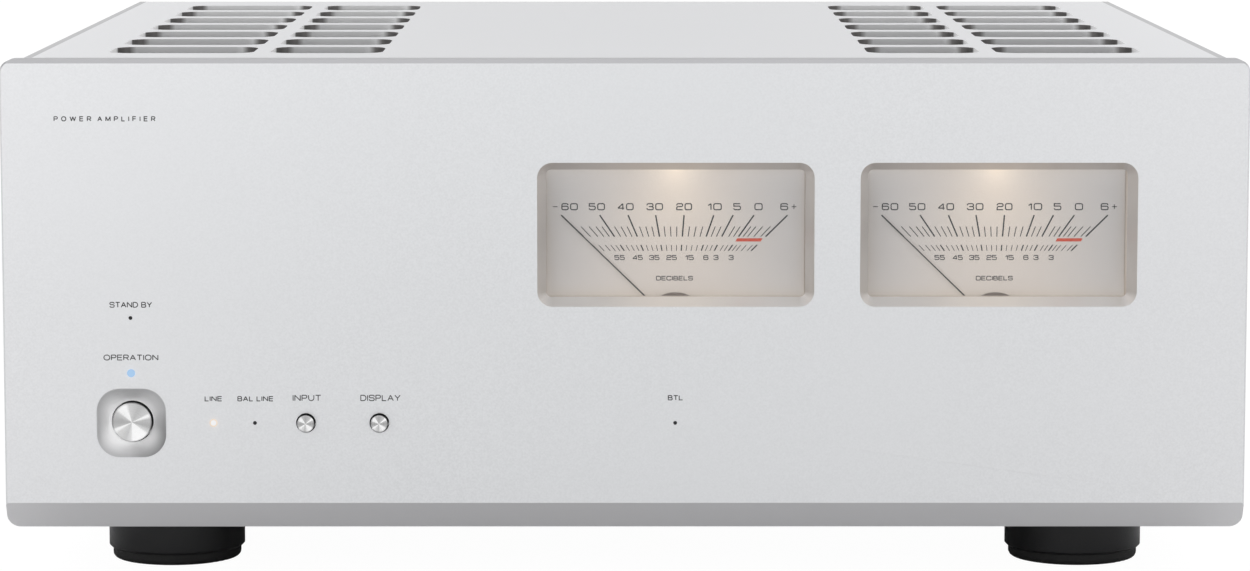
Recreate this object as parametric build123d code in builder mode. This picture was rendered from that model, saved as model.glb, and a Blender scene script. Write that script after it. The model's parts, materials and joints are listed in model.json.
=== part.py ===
"""Full-width stereo power amplifier as an assembly of separate pieces.

Row frame: +X to the right seen from the front, the front panel faces -Y, +Z up,
origin under the middle of the case at floor level. All sizes are in millimetres.
"""

import os
from math import cos, radians, sin

from build123d import *

os.makedirs("parts", exist_ok=True)

# Overall sizes
WIDTH = 440.0  # front panel width
HEIGHT = 190.0  # floor to top cover
FACE_Y = -211.0  # outer face of the front panel
PANEL_T = 12.0  # front panel thickness
PANEL_BOTTOM = 23.0  # lower edge of the panel and case above the floor
CASE_HALF = 215.0  # half width of the case behind the panel
REAR_Y = 187.5  # outer face of the rear panel
COVER_T = 3.0  # top cover thickness
SIDE_T = 3.0  # side panel thickness
BASE_T = 2.0  # base plate thickness
REAR_T = 2.0  # rear panel thickness

PANEL_BACK = FACE_Y + PANEL_T
COVER_Z = HEIGHT - COVER_T
FLOOR_Z = PANEL_BOTTOM + BASE_T
REAR_IN = REAR_Y - REAR_T
PANEL_MID = (PANEL_BOTTOM + HEIGHT) / 2

# Meters
METER_X = (17.95, 132.0)  # window centres
METER_Z = 128.2
WINDOW_OUT = (97.9, 51.1)  # bevel at the panel face
WINDOW_IN = (91.8, 45.3)  # clear opening
BEVEL_DEPTH = 5.7
GLASS_SIZE = (95.8, 49.3)
GLASS_Y = FACE_Y + 6.2
GLASS_T = 2.0
DIAL_Y = FACE_Y + 14.5
DIAL_T = 1.0
PIVOT_Z = METER_Z - 33.8
NEEDLE_LEN = 55.0
NEEDLE_REST = 45.9  # degrees to the left of straight up
NEEDLE_ROOT = 0.27  # half widths of the pointer at the shaft and at the tip
NEEDLE_TIP = 0.17
HUB_COVER_R = 11.9
CASE_W = 95.2  # meter case
CASE_Z0 = 78.0
CASE_Z1 = 158.0
CASE_BACK = -172.0

# Buttons and lamps on the panel
POWER_X = -175.0
CONTROL_Z = 61.2
DISH = 24.6  # square dish around the power button
DISH_R = 8.2
DISH_RIM = 0.2  # flat rim left around the hollow
DISH_DEPTH = 4.1
DISH_STEPS = 6
POWER_HOLE = 14.9
POWER_CAP = 13.9
POWER_RECESS = 1.5  # cap face behind the panel face
BUTTON_X = (-113.1, -87.1)
BUTTON_HOLE = 7.0
BUTTON_CAP = 6.0
BUTTON_PROUD = 2.8
CAP_BEVEL = 0.35
OPERATION_LAMP = (-174.9, 79.0)
LINE_LAMP = (-145.9, CONTROL_Z)
DARK_LAMPS = ((-174.9, 98.7), (-131.2, CONTROL_Z), (17.8, CONTROL_Z))
LENS_R = 1.4
BOARD_Y = -186.0

# Vents in the top cover
VENT_COLUMNS = ((107.85, 40.7), (160.25, 52.3))  # distance from the middle, width
VENT_DEPTH = 36.5
VENT_FIRST = FACE_Y + 38.5 + VENT_DEPTH / 2
VENT_PITCH = 48.2
VENT_ROWS = 7
VENT_R = 8.5

# Feet
FOOT_X = 167.0
FOOT_Y = 133.0
FOOT_R = 25.2
PAD_R = 23.8
PAD_T = 4.0

# Rear connectors
POST_X = (-130.0, -100.0, 100.0, 130.0)
POST_Z = 72.0
POST_END = 213.5
POST_R = 3.0
BANANA_R = 2.0
BANANA_DEPTH = 18.0
KNOB_R = 8.5
RCA_X = (-112.0, 112.0)
XLR_X = (-150.0, 150.0)
INPUT_Z = 138.0
RCA_R = 4.15
XLR_W = 26.0
XLR_H = 31.0
PHASE_X = (-76.0, 76.0)
MODE_X = 0.0
INLET_Z = 58.0
REAR_SCREWS = (
    (-205.0, 178.0), (-70.0, 178.0), (70.0, 178.0), (205.0, 178.0),
    (-205.0, 105.0), (205.0, 105.0),
    (-205.0, 34.0), (-70.0, 34.0), (70.0, 34.0), (205.0, 34.0),
)


def front(y):
    """Plane at depth y seen from the front: local x is X, local y is Z."""
    return Plane(origin=(0, y, 0), x_dir=(1, 0, 0), z_dir=(0, -1, 0))


def block(x0, x1, y0, y1, z0, z1, mode=Mode.ADD):
    """Box given by its limits."""
    with Locations(((x0 + x1) / 2, (y0 + y1) / 2, (z0 + z1) / 2)):
        Box(x1 - x0, y1 - y0, z1 - z0, mode=mode)


def rod(x, z, y0, y1, r, mode=Mode.ADD):
    """Cylinder along Y between two depths."""
    with BuildSketch(front(y1)) as outline:
        with Locations((x, z)):
            Circle(r)
    extrude(outline.sketch, amount=y1 - y0, mode=mode)


def pad(x, z, y0, y1, w, h, r, mode=Mode.ADD):
    """Rounded rectangle extruded along Y between two depths."""
    with BuildSketch(front(y1)) as outline:
        with Locations((x, z)):
            RectangleRounded(w, h, r)
    extrude(outline.sketch, amount=y1 - y0, mode=mode)


def stack(x, z, outline, mode=Mode.ADD):
    """Turned shape about a Y axis from (radius, depth) points."""
    with BuildSketch(Plane.XY.offset(z)) as half:
        with BuildLine():
            Polyline([(x + r, y) for r, y in outline], close=True)
        make_face()
    revolve(half.sketch, axis=Axis((x, 0, z), (0, 1, 0)), mode=mode)


def save(builder, name):
    """Label one piece and write its STEP file."""
    builder.part.label = name
    export_step(builder.part, f"parts/{name}.step")


# ---------------------------------------------------------------- case

with BuildPart() as front_panel:
    with BuildSketch(front(PANEL_BACK)):
        with Locations((0, PANEL_MID)):
            RectangleRounded(WIDTH, HEIGHT - PANEL_BOTTOM, 4.5)
    extrude(amount=PANEL_T)
    chamfer(front_panel.faces().sort_by(Axis.Y)[0].outer_wire().edges(), 0.6)
    # bevels along the lower and upper front edges
    with BuildSketch(Plane.YZ.offset(-WIDTH / 2 - 1)):
        with BuildLine():
            Polyline(
                (FACE_Y - 1, PANEL_BOTTOM + 9.5 + 1.58), (FACE_Y + 7.0, PANEL_BOTTOM - 1.58),
                (FACE_Y - 1, PANEL_BOTTOM - 1.58), close=True)
        make_face()
        with BuildLine():
            Polyline(
                (FACE_Y - 1, HEIGHT - 2.2), (FACE_Y + 2.2, HEIGHT + 1),
                (FACE_Y - 1, HEIGHT + 1), close=True)
        make_face()
    extrude(amount=WIDTH + 2, mode=Mode.SUBTRACT)
    for x in METER_X:
        with BuildSketch(front(FACE_Y)):
            with Locations((x, METER_Z)):
                RectangleRounded(WINDOW_OUT[0], WINDOW_OUT[1], 5.4)
        with BuildSketch(front(FACE_Y + BEVEL_DEPTH)):
            with Locations((x, METER_Z)):
                RectangleRounded(WINDOW_IN[0], WINDOW_IN[1], 1.8)
        loft(mode=Mode.SUBTRACT)
        pad(x, METER_Z, FACE_Y + BEVEL_DEPTH, PANEL_BACK, WINDOW_IN[0], WINDOW_IN[1], 1.8, Mode.SUBTRACT)
        pad(x, METER_Z, GLASS_Y, PANEL_BACK, GLASS_SIZE[0] + 0.2, GLASS_SIZE[1] + 0.2, 2.0, Mode.SUBTRACT)
    pad(POWER_X, CONTROL_Z, FACE_Y, PANEL_BACK, DISH, DISH, DISH_R, Mode.SUBTRACT)
    for x in BUTTON_X:
        rod(x, CONTROL_Z, FACE_Y, PANEL_BACK, BUTTON_HOLE / 2, Mode.SUBTRACT)
    rod(*OPERATION_LAMP, FACE_Y, PANEL_BACK, LENS_R + 0.05, Mode.SUBTRACT)
    rod(*LINE_LAMP, FACE_Y, PANEL_BACK, LENS_R + 0.05, Mode.SUBTRACT)
    for x, z in DARK_LAMPS:
        rod(x, z, FACE_Y, PANEL_BACK, 0.7, Mode.SUBTRACT)
save(front_panel, "front_panel")

with BuildPart() as front_subframe:
    block(-211.9, 211.9, -171.0, -169.0, FLOOR_Z, COVER_Z)
    for x in (-205.0, -50.0, 74.5, 205.0):
        for z in (40.0, 172.0):
            rod(x, z, PANEL_BACK, -171.0, 4.0)
    for x in (-190.0, -160.0, -100.0, 26.0):
        rod(x, 54.0, BOARD_Y + 1.6, -171.0, 3.0)
    for x in (-150.0, 17.95, 132.0):
        pad(x, 128.0, -171.0, -169.0, 40.0, 26.0, 4.0, Mode.SUBTRACT)
save(front_subframe, "front_subframe")

with BuildPart() as chassis_base:
    block(-CASE_HALF, CASE_HALF, PANEL_BACK, REAR_Y, PANEL_BOTTOM, FLOOR_Z)
    for x in (-80.0, 0.0, 80.0):
        for y in (5.0, 85.0):
            with Locations((x, y, FLOOR_Z + 2.0)):
                Cylinder(3.0, 4.0)
    for x in (-FOOT_X, FOOT_X):
        for y in (-FOOT_Y, FOOT_Y):
            with Locations((x, y, PANEL_BOTTOM)):
                Cylinder(2.05, 20.0, mode=Mode.SUBTRACT)
    # cooling slots under each heat sink
    with BuildSketch(Plane.XY.offset(FLOOR_Z)):
        for x in (-155.0, 155.0):
            for k in range(9):
                with Locations((x, -80.0 + 20.0 * k)):
                    SlotOverall(60.0, 3.6)
    extrude(amount=-BASE_T, mode=Mode.SUBTRACT)
save(chassis_base, "chassis_base")


def side_panel(sign):
    """Plain side plate between the base and the top cover."""
    x0 = sign * (CASE_HALF - SIDE_T)
    x1 = sign * CASE_HALF
    block(min(x0, x1), max(x0, x1), PANEL_BACK, REAR_IN, FLOOR_Z, COVER_Z)


with BuildPart() as side_panel_left:
    side_panel(-1)
save(side_panel_left, "side_panel_left")

with BuildPart() as side_panel_right:
    side_panel(1)
save(side_panel_right, "side_panel_right")

with BuildPart() as rear_panel:
    block(-CASE_HALF, CASE_HALF, REAR_IN, REAR_Y, FLOOR_Z, COVER_Z)
    for x in POST_X:
        rod(x, POST_Z, REAR_IN, REAR_Y, 5.1, Mode.SUBTRACT)
    for x in RCA_X:
        rod(x, INPUT_Z, REAR_IN, REAR_Y, 5.1, Mode.SUBTRACT)
    for x in XLR_X:
        rod(x, INPUT_Z, REAR_IN, REAR_Y, 11.6, Mode.SUBTRACT)
        pad(x, INPUT_Z + 10.0, REAR_IN, REAR_Y, 7.0, 5.4, 0.5, Mode.SUBTRACT)
    for x in (PHASE_X[0], MODE_X, PHASE_X[1]):
        pad(x, INPUT_Z, REAR_IN, REAR_Y, 13.0, 6.0, 0.5, Mode.SUBTRACT)
    pad(0, INLET_Z, REAR_IN, REAR_Y, 28.2, 20.2, 1.0, Mode.SUBTRACT)
    for x, z in REAR_SCREWS:
        rod(x, z, REAR_IN, REAR_Y, 1.55, Mode.SUBTRACT)
save(rear_panel, "rear_panel")

with BuildPart() as top_cover:
    block(-CASE_HALF, CASE_HALF, PANEL_BACK + 0.5, REAR_Y, COVER_Z, HEIGHT)
    chamfer(top_cover.faces().sort_by(Axis.Z)[-1].edges().filter_by(Axis.Y), 2.1)
    with BuildSketch(Plane.XY.offset(HEIGHT)):
        for offset, width in VENT_COLUMNS:
            for sign in (-1, 1):
                for row in range(VENT_ROWS):
                    with Locations((sign * offset, VENT_FIRST + row * VENT_PITCH)):
                        RectangleRounded(width, VENT_DEPTH, VENT_R)
    extrude(amount=-COVER_T, mode=Mode.SUBTRACT)
save(top_cover, "top_cover")

# ---------------------------------------------------------------- front controls

with BuildPart() as power_button_dish:
    pad(POWER_X, CONTROL_Z, FACE_Y, PANEL_BACK, DISH - 0.1, DISH - 0.1, DISH_R - 0.05)
    # hollow that starts steep at the square rim and flattens out at the round hole
    for step in range(DISH_STEPS + 1):
        inward = step / DISH_STEPS
        width = (1 - inward) * (DISH - 2 * DISH_RIM) + inward * (POWER_HOLE + 0.3)
        corner = (1 - inward) * (DISH_R - DISH_RIM) + inward * (POWER_HOLE / 2 + 0.1)
        with BuildSketch(front(FACE_Y + DISH_DEPTH * sin(radians(90.0 * inward)))):
            with Locations((POWER_X, CONTROL_Z)):
                RectangleRounded(width, width, corner)
    loft(mode=Mode.SUBTRACT)
    rod(POWER_X, CONTROL_Z, FACE_Y, PANEL_BACK, POWER_HOLE / 2, Mode.SUBTRACT)
save(power_button_dish, "power_button_dish")


def push_button(x, face_y, cap_r, flange_r, stem_r, stem_end):
    """Turned cap with a bevelled face, a retaining flange and a stem."""
    outline = [
        (0, face_y), (cap_r - CAP_BEVEL, face_y), (cap_r, face_y + CAP_BEVEL), (cap_r, PANEL_BACK + 0.1),
        (flange_r, PANEL_BACK + 0.1), (flange_r, PANEL_BACK + 1.0), (stem_r, PANEL_BACK + 1.0),
        (stem_r, stem_end), (0, stem_end),
    ]
    stack(x, CONTROL_Z, outline)


with BuildPart() as power_button:
    push_button(POWER_X, FACE_Y + POWER_RECESS, POWER_CAP / 2, 8.3, 2.5, -190.5)
save(power_button, "power_button")

with BuildPart() as input_button:
    push_button(BUTTON_X[0], FACE_Y - BUTTON_PROUD, BUTTON_CAP / 2, 4.3, 1.5, -189.5)
save(input_button, "input_button")

with BuildPart() as display_button:
    push_button(BUTTON_X[1], FACE_Y - BUTTON_PROUD, BUTTON_CAP / 2, 4.3, 1.5, -189.5)
save(display_button, "display_button")

with BuildPart() as power_switch:
    pad(POWER_X, CONTROL_Z, -194.5, BOARD_Y, 15.0, 15.0, 1.0)
    rod(POWER_X, CONTROL_Z, -194.5, BOARD_Y - 0.5, 2.6, Mode.SUBTRACT)
save(power_switch, "power_switch")

with BuildPart() as button_switches:
    for x in BUTTON_X:
        pad(x, CONTROL_Z, -192.0, BOARD_Y, 7.5, 7.5, 0.5)
        rod(x, CONTROL_Z, -192.0, BOARD_Y - 0.5, 1.6, Mode.SUBTRACT)
save(button_switches, "button_switches")

with BuildPart() as control_board:
    block(-196.0, -154.0, BOARD_Y, BOARD_Y + 1.6, 48.0, 104.0)
    block(-154.0, 32.0, BOARD_Y, BOARD_Y + 1.6, 48.0, 74.0)
save(control_board, "control_board")

with BuildPart() as operation_lens:
    rod(*OPERATION_LAMP, FACE_Y, BOARD_Y, LENS_R)
save(operation_lens, "operation_lens")

with BuildPart() as line_lens:
    rod(*LINE_LAMP, FACE_Y, BOARD_Y, LENS_R)
save(line_lens, "line_lens")

with BuildPart() as unlit_lenses:
    for x, z in DARK_LAMPS:
        rod(x, z, FACE_Y, BOARD_Y, 0.65)
save(unlit_lenses, "unlit_lenses")

# ---------------------------------------------------------------- meters

with BuildPart() as meter_glasses:
    for x in METER_X:
        pad(x, METER_Z, GLASS_Y, GLASS_Y + GLASS_T, GLASS_SIZE[0], GLASS_SIZE[1], 1.9)
save(meter_glasses, "meter_glasses")

with BuildPart() as meter_cases:
    for x in METER_X:
        rim_y = GLASS_Y + GLASS_T
        pad(x, METER_Z, rim_y, PANEL_BACK, CASE_W, GLASS_SIZE[1] - 0.4, 1.7)
        block(x - CASE_W / 2, x + CASE_W / 2, PANEL_BACK, CASE_BACK, CASE_Z0, CASE_Z1)
        block(x - 46.2, x + 46.2, rim_y, DIAL_Y + DIAL_T, METER_Z - 23.0, METER_Z + 23.0, Mode.SUBTRACT)
        block(x - 46.2, x + 46.2, PANEL_BACK, DIAL_Y + DIAL_T, CASE_Z0 + 1.5, CASE_Z1 - 1.5, Mode.SUBTRACT)
        block(x - 44.0, x + 44.0, DIAL_Y, CASE_BACK - 2.0, CASE_Z0 + 3.5, CASE_Z1 - 3.5, Mode.SUBTRACT)
save(meter_cases, "meter_cases")

with BuildPart() as meter_dials:
    for x in METER_X:
        block(x - 46.0, x + 46.0, DIAL_Y, DIAL_Y + DIAL_T, CASE_Z0 + 1.7, CASE_Z1 - 1.7)
        rod(x, PIVOT_Z, DIAL_Y, DIAL_Y + DIAL_T, 3.0, Mode.SUBTRACT)
save(meter_dials, "meter_dials")


def needle(x):
    """Tapered pointer, tail, hub and shaft turning about a Y axis."""
    along = (-sin(radians(NEEDLE_REST)), cos(radians(NEEDLE_REST)))
    across = (along[1], -along[0])

    def spot(up, side):
        return (
            x + along[0] * up + across[0] * side,
            PIVOT_Z + along[1] * up + across[1] * side,
        )

    with BuildSketch(front(DIAL_Y - 0.6)) as pointer:
        with BuildLine():
            Polyline(
                spot(-9.0, -0.9), spot(-9.0, 0.9), spot(0, NEEDLE_ROOT), spot(NEEDLE_LEN, NEEDLE_TIP),
                spot(NEEDLE_LEN, -NEEDLE_TIP), spot(0, -NEEDLE_ROOT), close=True)
        make_face()
    extrude(pointer.sketch, amount=0.4)
    rod(x, PIVOT_Z, DIAL_Y - 1.0, DIAL_Y + 2.0, 2.4)
    rod(x, PIVOT_Z, DIAL_Y + 2.0, -180.0, 0.8)


with BuildPart() as meter_needle_left:
    needle(METER_X[0])
save(meter_needle_left, "meter_needle_left")

with BuildPart() as meter_needle_right:
    needle(METER_X[1])
save(meter_needle_right, "meter_needle_right")

with BuildPart() as meter_hub_covers:
    for x in METER_X:
        rod(x, PIVOT_Z, DIAL_Y - 2.3, DIAL_Y - 1.2, HUB_COVER_R)
        block(x - 10.0, x + 10.0, DIAL_Y - 2.3, DIAL_Y, PIVOT_Z - 13.0, PIVOT_Z - 10.0)
save(meter_hub_covers, "meter_hub_covers")

with BuildPart() as meter_movements:
    for x in METER_X:
        rod(x, PIVOT_Z, DIAL_Y + 4.0, CASE_BACK - 2.0, 12.5)
        rod(x, PIVOT_Z, DIAL_Y + 4.0, CASE_BACK - 2.0, 0.86, Mode.SUBTRACT)
save(meter_movements, "meter_movements")

with BuildPart() as meter_lamps:
    for x in METER_X:
        block(x - 11.0, x + 11.0, DIAL_Y - 2.2, DIAL_Y, 152.2, 155.8)
save(meter_lamps, "meter_lamps")

# ---------------------------------------------------------------- inside


def heat_sink(sign):
    """Upright base plate with a row of thin fins pointing outwards."""
    block(min(sign * 127.0, sign * 135.0), max(sign * 127.0, sign * 135.0), -164.0, 158.0, FLOOR_Z, 180.0)
    for k in range(40):
        y = -162.0 + 8.0 * k
        block(min(sign * 135.0, sign * 186.0), max(sign * 135.0, sign * 186.0), y, y + 2.0, 30.0, 180.0)


with BuildPart() as heat_sink_left:
    heat_sink(-1)
save(heat_sink_left, "heat_sink_left")

with BuildPart() as heat_sink_right:
    heat_sink(1)
save(heat_sink_right, "heat_sink_right")

with BuildPart() as output_transistors:
    for sign in (-1, 1):
        for k in range(6):
            y = -125.0 + 46.0 * k
            block(min(sign * 122.0, sign * 127.0), max(sign * 122.0, sign * 127.0), y - 10, y + 10, 86.0, 112.0)
save(output_transistors, "output_transistors")

with BuildPart() as driver_boards:
    for sign in (-1, 1):
        block(min(sign * 120.4, sign * 122.0), max(sign * 120.4, sign * 122.0), -145.0, 125.0, 50.0, 150.0)
        for k in range(5):
            with Locations((sign * 112.4, -110.0 + 48.0 * k, 128.0)):
                Cylinder(6.5, 16.0, rotation=(0, 90, 0))
save(driver_boards, "driver_boards")

CORE_Y = (-132.0, -52.0)

with BuildPart() as transformer_core:
    block(-66.0, 66.0, CORE_Y[0], CORE_Y[1], 35.0, 145.0)
    block(-44.0, -22.0, CORE_Y[0], CORE_Y[1], 57.0, 123.0, Mode.SUBTRACT)
    block(22.0, 44.0, CORE_Y[0], CORE_Y[1], 57.0, 123.0, Mode.SUBTRACT)
    # mounting angles down to the base plate
    for x in (-66.0, 48.0):
        block(x, x + 18.0, CORE_Y[0], CORE_Y[1], FLOOR_Z, 35.0)
save(transformer_core, "transformer_core")

with BuildPart() as transformer_windings:
    block(-43.9, 43.9, CORE_Y[0] - 20.0, CORE_Y[1] + 20.0, 57.1, 122.9)
    block(-22.0, 22.0, CORE_Y[0], CORE_Y[1], 57.1, 122.9, Mode.SUBTRACT)
    fillet(transformer_windings.edges().filter_by(Axis.Z).group_by(Axis.Y)[0], 8.0)
    fillet(transformer_windings.edges().filter_by(Axis.Z).group_by(Axis.Y)[-1], 8.0)
save(transformer_windings, "transformer_windings")

with BuildPart() as power_supply_board:
    block(-88.0, 88.0, -3.0, 93.0, FLOOR_Z + 4.0, FLOOR_Z + 5.6)
save(power_supply_board, "power_supply_board")

with BuildPart() as filter_capacitors:
    for x in (-63.0, -21.0, 21.0, 63.0):
        for y in (23.0, 66.0):
            with Locations((x, y, FLOOR_Z + 5.6 + 32.5)):
                Cylinder(17.5, 65.0)
    fillet(filter_capacitors.edges().filter_by(GeomType.CIRCLE).group_by(Axis.Z)[-1], 1.5)
save(filter_capacitors, "filter_capacitors")

with BuildPart() as input_board:
    block(-172.0, 172.0, 162.0, 163.6, 118.0, 158.0)
save(input_board, "input_board")

# ---------------------------------------------------------------- rear connectors

with BuildPart() as speaker_post_cores:
    for x in POST_X:
        core = [
            (BANANA_R, POST_END), (POST_R - 0.3, POST_END), (POST_R, POST_END - 0.3), (POST_R, 182.0),
            (6.0, 182.0), (6.0, 178.5), (POST_R, 178.5), (POST_R, 168.0), (0, 168.0),
            (0, POST_END - BANANA_DEPTH), (BANANA_R, POST_END - BANANA_DEPTH),
        ]
        stack(x, POST_Z, core)
save(speaker_post_cores, "speaker_post_cores")

with BuildPart() as speaker_post_bases:
    for x in POST_X:
        bush = [
            (POST_R + 0.02, 182.0), (5.0, 182.0), (5.0, REAR_Y), (11.0, REAR_Y), (11.0, REAR_Y + 3.2),
            (10.2, REAR_Y + 4.0), (POST_R + 0.02, REAR_Y + 4.0),
        ]
        stack(x, POST_Z, bush)
save(speaker_post_bases, "speaker_post_bases")


def clamp_washer(x):
    """Flat metal ring that presses the wire against the base."""
    y0 = REAR_Y + 4.0
    ring = [
        (POST_R + 0.06, y0), (7.2, y0), (7.6, y0 + 0.4), (7.6, y0 + 1.6), (POST_R + 0.06, y0 + 1.6),
    ]
    stack(x, POST_Z, ring)


def clamp_knob(x):
    """Fluted knob that runs on the post thread."""
    y0 = REAR_Y + 5.7
    body = [
        (POST_R + 0.06, y0), (KNOB_R - 0.6, y0), (KNOB_R, y0 + 0.6), (KNOB_R, y0 + 14.6),
        (KNOB_R - 1.2, y0 + 16.0), (4.4, y0 + 18.2), (POST_R + 0.06, y0 + 18.2),
    ]
    stack(x, POST_Z, body)
    with BuildSketch(front(y0 + 19.0)) as flutes:
        for k in range(12):
            a = radians(30.0 * k)
            with Locations((x + (KNOB_R + 0.55) * cos(a), POST_Z + (KNOB_R + 0.55) * sin(a))):
                Circle(1.3)
    extrude(flutes.sketch, amount=16.5, mode=Mode.SUBTRACT)


with BuildPart() as clamp_washer_1:
    clamp_washer(POST_X[0])
save(clamp_washer_1, "clamp_washer_1")

with BuildPart() as clamp_washer_2:
    clamp_washer(POST_X[1])
save(clamp_washer_2, "clamp_washer_2")

with BuildPart() as clamp_washer_3:
    clamp_washer(POST_X[2])
save(clamp_washer_3, "clamp_washer_3")

with BuildPart() as clamp_washer_4:
    clamp_washer(POST_X[3])
save(clamp_washer_4, "clamp_washer_4")

with BuildPart() as clamp_knob_1:
    clamp_knob(POST_X[0])
save(clamp_knob_1, "clamp_knob_1")

with BuildPart() as clamp_knob_2:
    clamp_knob(POST_X[1])
save(clamp_knob_2, "clamp_knob_2")

with BuildPart() as clamp_knob_3:
    clamp_knob(POST_X[2])
save(clamp_knob_3, "clamp_knob_3")

with BuildPart() as clamp_knob_4:
    clamp_knob(POST_X[3])
save(clamp_knob_4, "clamp_knob_4")

with BuildPart() as rca_jacks:
    for x in RCA_X:
        jack = [
            (3.2, 176.0), (5.0, 176.0), (5.0, REAR_Y), (6.6, REAR_Y), (6.6, REAR_Y + 2.4),
            (RCA_R, REAR_Y + 2.4), (RCA_R, REAR_Y + 11.6), (RCA_R - 0.4, REAR_Y + 12.0), (3.2, REAR_Y + 12.0),
        ]
        stack(x, INPUT_Z, jack)
save(rca_jacks, "rca_jacks")

with BuildPart() as rca_insulators:
    for x in RCA_X:
        plug = [(1.7, 176.0), (3.2, 176.0), (3.2, REAR_Y + 11.0), (1.7, REAR_Y + 11.0)]
        stack(x, INPUT_Z, plug)
        rod(x, INPUT_Z, 163.6, 176.0, 2.6)
save(rca_insulators, "rca_insulators")

with BuildPart() as xlr_shells:
    for x in XLR_X:
        pad(x, INPUT_Z, REAR_Y, REAR_Y + 2.0, XLR_W, XLR_H, 3.0)
        rod(x, INPUT_Z, REAR_Y - 16.0, REAR_Y, 11.5)
        rod(x, INPUT_Z, REAR_Y, REAR_Y + 3.4, 10.6)
        rod(x, INPUT_Z, REAR_Y - 14.5, REAR_Y + 3.4, 8.1, Mode.SUBTRACT)
        # slot for the latch
        block(x - 3.1, x + 3.1, REAR_Y - 10.0, REAR_Y + 3.4, INPUT_Z + 7.5, INPUT_Z + 12.1, Mode.SUBTRACT)
        for dx, dz in ((-9.5, 12.0), (9.5, -12.0)):
            rod(x + dx, INPUT_Z + dz, REAR_Y, REAR_Y + 2.0, 1.6, Mode.SUBTRACT)
save(xlr_shells, "xlr_shells")

with BuildPart() as xlr_inserts:
    for x in XLR_X:
        rod(x, INPUT_Z, REAR_Y - 14.5, REAR_Y + 1.0, 5.9)
        rod(x, INPUT_Z, REAR_Y - 14.5, REAR_Y - 12.5, 8.1)
        rod(x, INPUT_Z, 163.6, REAR_Y - 16.0, 8.0)
        for dx, dz in ((-3.3, 1.6), (3.3, 1.6), (0.0, -3.2)):
            rod(x + dx, INPUT_Z + dz, REAR_Y - 9.0, REAR_Y + 1.0, 1.2, Mode.SUBTRACT)
save(xlr_inserts, "xlr_inserts")


def xlr_latch(x):
    """Sprung tab in the slot above the socket."""
    pad(x, INPUT_Z + 9.8, REAR_Y - 7.0, REAR_Y + 5.2, 6.0, 4.2, 0.8)


with BuildPart() as xlr_latch_left:
    xlr_latch(XLR_X[0])
save(xlr_latch_left, "xlr_latch_left")

with BuildPart() as xlr_latch_right:
    xlr_latch(XLR_X[1])
save(xlr_latch_right, "xlr_latch_right")

with BuildPart() as switch_bodies:
    for x in (PHASE_X[0], MODE_X, PHASE_X[1]):
        pad(x, INPUT_Z, 178.0, REAR_IN, 20.0, 9.0, 0.8)
        pad(x, INPUT_Z, REAR_IN, REAR_Y - 0.6, 12.8, 5.8, 0.4)
        block(x - 5.3, x + 5.3, 181.0, REAR_Y, INPUT_Z - 2.1, INPUT_Z + 2.1, Mode.SUBTRACT)
save(switch_bodies, "switch_bodies")


def slider(x):
    """Ribbed switch actuator standing at the left end of its slot."""
    x0 = x - 5.2
    block(x0, x0 + 5.6, 181.2, REAR_Y + 0.6, INPUT_Z - 2.0, INPUT_Z + 2.0)
    for k in range(3):
        block(x0 + 0.5 + 1.8 * k, x0 + 1.5 + 1.8 * k, REAR_Y + 0.6, REAR_Y + 1.6, INPUT_Z - 2.0, INPUT_Z + 2.0)


with BuildPart() as phase_slider_left:
    slider(PHASE_X[0])
save(phase_slider_left, "phase_slider_left")

with BuildPart() as phase_slider_right:
    slider(PHASE_X[1])
save(phase_slider_right, "phase_slider_right")

with BuildPart() as mode_slider:
    slider(MODE_X)
save(mode_slider, "mode_slider")

PIN_SPOTS = ((-7.0, -2.0), (7.0, -2.0), (0.0, 2.0))

with BuildPart() as ac_inlet:
    pad(0, INLET_Z, REAR_Y, REAR_Y + 2.6, 50.0, 23.0, 3.0)
    pad(0, INLET_Z, 171.0, REAR_Y, 28.0, 20.0, 0.9)
    with BuildSketch(front(REAR_Y + 2.6)):
        with BuildLine():
            Polyline(
                (-12.2, INLET_Z - 8.4), (12.2, INLET_Z - 8.4), (12.2, INLET_Z + 4.2), (8.0, INLET_Z + 8.4),
                (-8.0, INLET_Z + 8.4), (-12.2, INLET_Z + 4.2), close=True)
        make_face()
    extrude(amount=16.6, mode=Mode.SUBTRACT)
    for dx, dz in PIN_SPOTS:
        block(dx - 1.0, dx + 1.0, 170.0, 174.0, INLET_Z + dz - 2.0, INLET_Z + dz + 2.0, Mode.SUBTRACT)
    for x in (-20.0, 20.0):
        rod(x, INLET_Z, REAR_Y, REAR_Y + 2.6, 1.7, Mode.SUBTRACT)
save(ac_inlet, "ac_inlet")

with BuildPart() as ac_inlet_pins:
    for dx, dz in PIN_SPOTS:
        block(dx - 1.0, dx + 1.0, 166.0, 186.5, INLET_Z + dz - 2.0, INLET_Z + dz + 2.0)
save(ac_inlet_pins, "ac_inlet_pins")

# ---------------------------------------------------------------- feet and screws

with BuildPart() as foot_bodies:
    for x in (-FOOT_X, FOOT_X):
        for y in (-FOOT_Y, FOOT_Y):
            with BuildSketch(Plane.XY.offset(PAD_T)):
                with Locations((x, y)):
                    Circle(FOOT_R)
                    Circle(5.0, mode=Mode.SUBTRACT)
            extrude(amount=PANEL_BOTTOM - PAD_T)
            with BuildSketch(Plane.XY.offset(12.0)):
                with Locations((x, y)):
                    Circle(5.0)
                    Circle(2.05, mode=Mode.SUBTRACT)
            extrude(amount=PANEL_BOTTOM - 12.0)
    outer = foot_bodies.edges().filter_by(GeomType.CIRCLE).group_by(Axis.Z)[0]
    chamfer([e for e in outer if e.radius > 20.0], 1.0)
save(foot_bodies, "foot_bodies")

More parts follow.
